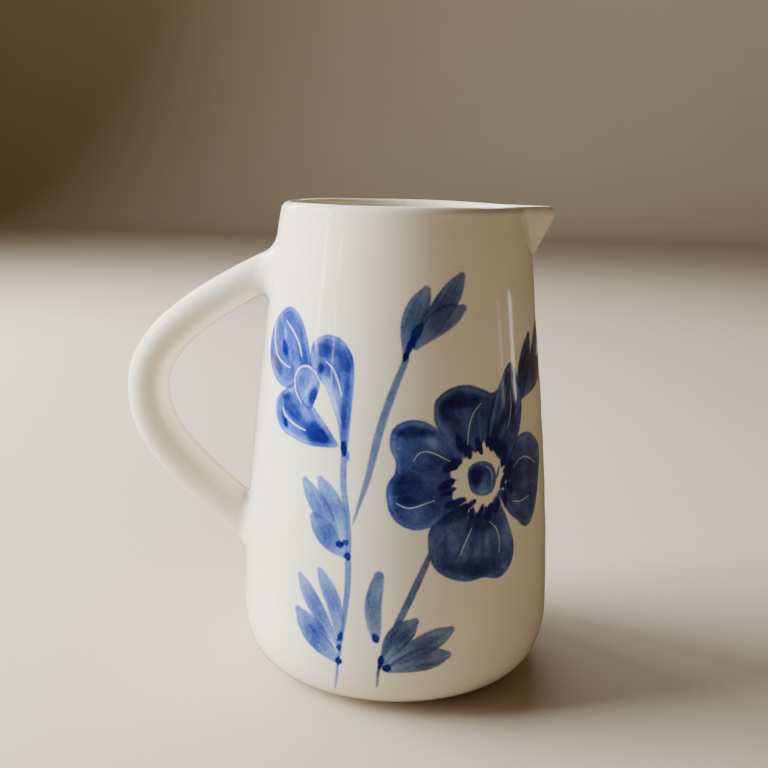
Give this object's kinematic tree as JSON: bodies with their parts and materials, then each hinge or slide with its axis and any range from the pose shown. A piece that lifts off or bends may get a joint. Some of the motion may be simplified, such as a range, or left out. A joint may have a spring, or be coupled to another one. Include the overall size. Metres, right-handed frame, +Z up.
{
  "type": "ceramic pitcher",
  "caption": "Round tapered glazed pitcher with a beak spout at the rim, a loop handle opposite and a bare foot ring, for pouring drinks or holding flowers.",
  "frame": {"origin": "centre of the foot ring's flat, on the vessel's axis", "axes": "+Z up along the vessel's axis, +X towards the spout, -X towards the handle"},
  "size_m": [0.1666, 0.1212, 0.18],
  "materials": {
    "clay": "matte bisque",
    "bare_foot": "matte, wiped clean of glaze",
    "painted_glaze": "glossy cream glaze over cobalt brush painting",
    "plain_glaze": "glossy cream glaze"
  },
  "bodies": {
    "root": {"clay_body": "clay", "foot_ring": "bare_foot", "outer_glaze": "painted_glaze", "liner_glaze": "plain_glaze", "spout": "plain_glaze", "handle": "plain_glaze", "upper_handle_slip": "plain_glaze", "lower_handle_slip": "plain_glaze"}
  },
  "joints": []
}
